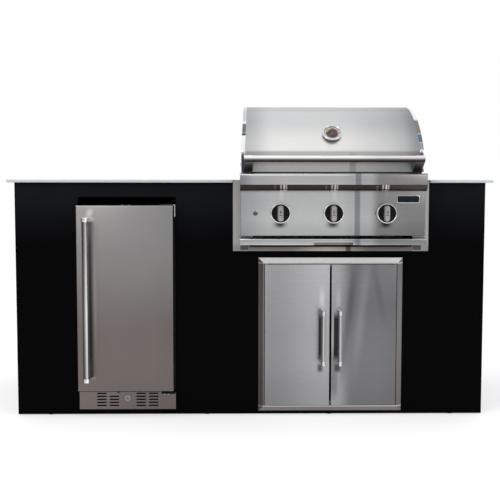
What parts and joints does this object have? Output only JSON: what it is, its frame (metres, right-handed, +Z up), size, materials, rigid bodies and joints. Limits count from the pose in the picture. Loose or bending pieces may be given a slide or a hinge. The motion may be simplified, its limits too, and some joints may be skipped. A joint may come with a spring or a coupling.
{
  "type": "outdoor kitchen island",
  "caption": "Outdoor kitchen island with a hooded gas grill, a compact refrigerator, hinged access doors and a slab counter on a panelled tube frame.",
  "frame": {"origin": "middle of the footprint box, on the ground under the levelling pads", "axes": "+Z up, +X to the right of someone at the controls, -Y towards them"},
  "size_m": [1.879, 0.9154, 1.228],
  "materials": {
    "powder_black": "satin powder coat",
    "slab": "honed porcelain slab",
    "frame_tube": "mill finish",
    "brushed": "horizontal brushed stainless",
    "brushed_dark": "brushed stainless, warm tone",
    "polished": "mirror polished stainless",
    "galvanised": "plain sheet",
    "brass": "machined",
    "rubber": "moulded",
    "black_plastic": "moulded",
    "white_plastic": "moulded liner",
    "clear_glass": "toughened",
    "red_paint": "gloss",
    "cooking_steel": "bead blasted rod"
  },
  "bodies": {
    "island": {"levelling_feet": "rubber", "body_frame": "frame_tube", "floor_deck": "galvanised", "front_panel": "powder_black", "rear_panel": "powder_black", "side_panels": "powder_black", "side_vents": "powder_black", "gas_grommet": "rubber", "counter_left": "slab", "counter_right": "slab", "counter_back": "slab", "liner_box": "brushed", "liner_flange": "brushed", "firebox": "brushed", "burners": "cooking_steel", "heat_tents": "cooking_steel", "grates": "cooking_steel", "warming_rack": "cooking_steel", "control_panel": "brushed", "gas_train": "brass", "igniter_body": "polished", "hood_hinges": "galvanised", "hood_bumpers": "rubber", "fridge_cabinet": "white_plastic", "fridge_feet": "black_plastic", "cooling_unit": "black_plastic", "fridge_shelves": "clear_glass", "fridge_kick_plate": "brushed_dark", "fridge_lock_barrel": "polished", "fridge_hinges": "galvanised", "access_frame": "brushed", "access_pins": "galvanised", "access_catches": "black_plastic"},
    "hood": {"hood_skin": "brushed", "hood_ends": "polished", "hood_handle": "polished", "thermometer_case": "polished", "thermometer_glass": "clear_glass"},
    "needle": {"thermometer_needle": "red_paint"},
    "stem_left": {"valve_stem_left": "brass"},
    "knob_left": {"knob_left": "polished", "knob_face_left": "black_plastic"},
    "stem_middle": {"valve_stem_middle": "brass"},
    "knob_middle": {"knob_middle": "polished", "knob_face_middle": "black_plastic"},
    "stem_right": {"valve_stem_right": "brass"},
    "knob_right": {"knob_right": "polished", "knob_face_right": "black_plastic"},
    "igniter": {"igniter_button": "polished"},
    "tray": {"drip_tray": "galvanised", "drip_tray_front": "brushed"},
    "fridge_door": {"fridge_door": "brushed_dark", "fridge_gasket": "rubber", "fridge_handle": "brushed", "fridge_door_stop": "black_plastic"},
    "fridge_lock": {"fridge_lock_plug": "polished"},
    "door_left": {"access_door_left": "brushed", "access_handle_left": "brushed"},
    "door_right": {"access_door_right": "brushed", "access_handle_right": "brushed"}
  },
  "joints": [
    {"name": "hood_hinge", "type": "hinge", "parent": "island", "child": "hood", "pos_m": [0.3125, 0.10275, 0.998], "axis": [-1, 0, 0], "range_deg": [0, 80]},
    {"name": "needle_turn", "type": "hinge", "parent": "hood", "child": "needle", "pos_m": [0.3125, -0.34294, 1.099], "axis": [0, 0.7938, -0.6082], "range_deg": [0, 270], "stiffness_Nm_per_rad": 0.0002},
    {"name": "knob_push_left", "type": "slide", "parent": "island", "child": "stem_left", "axis": [0, 1, 0], "range_m": [0, 0.003], "stiffness_N_per_m": 1200},
    {"name": "knob_turn_left", "type": "hinge", "parent": "stem_left", "child": "knob_left", "pos_m": [0.1115, -0.41925, 0.8], "axis": [0, -1, 0], "range_deg": [0, 180]},
    {"name": "knob_push_middle", "type": "slide", "parent": "island", "child": "stem_middle", "axis": [0, 1, 0], "range_m": [0, 0.003], "stiffness_N_per_m": 1200},
    {"name": "knob_turn_middle", "type": "hinge", "parent": "stem_middle", "child": "knob_middle", "pos_m": [0.3125, -0.41925, 0.8], "axis": [0, -1, 0], "range_deg": [0, 180]},
    {"name": "knob_push_right", "type": "slide", "parent": "island", "child": "stem_right", "axis": [0, 1, 0], "range_m": [0, 0.003], "stiffness_N_per_m": 1200},
    {"name": "knob_turn_right", "type": "hinge", "parent": "stem_right", "child": "knob_right", "pos_m": [0.5135, -0.41925, 0.8], "axis": [0, -1, 0], "range_deg": [0, 180]},
    {"name": "igniter_push", "type": "slide", "parent": "island", "child": "igniter", "axis": [0, 1, 0], "range_m": [0, 0.003], "stiffness_N_per_m": 800},
    {"name": "tray_slide", "type": "slide", "parent": "island", "child": "tray", "axis": [0, -1, 0], "range_m": [0, 0.35]},
    {"name": "fridge_door_hinge", "type": "hinge", "parent": "island", "child": "fridge_door", "pos_m": [-0.308, -0.35725, 0.467], "axis": [0, 0, 1], "range_deg": [0, 110]},
    {"name": "fridge_lock_turn", "type": "hinge", "parent": "island", "child": "fridge_lock", "pos_m": [-0.481, -0.34725, 0.074], "axis": [0, -1, 0], "range_deg": [0, 90]},
    {"name": "door_left_hinge", "type": "hinge", "parent": "island", "child": "door_left", "pos_m": [0.0628, -0.34025, 0.32], "axis": [0, 0, -1], "range_deg": [0, 110]},
    {"name": "door_right_hinge", "type": "hinge", "parent": "island", "child": "door_right", "pos_m": [0.5622, -0.34025, 0.32], "axis": [0, 0, 1], "range_deg": [0, 110]}
  ]
}
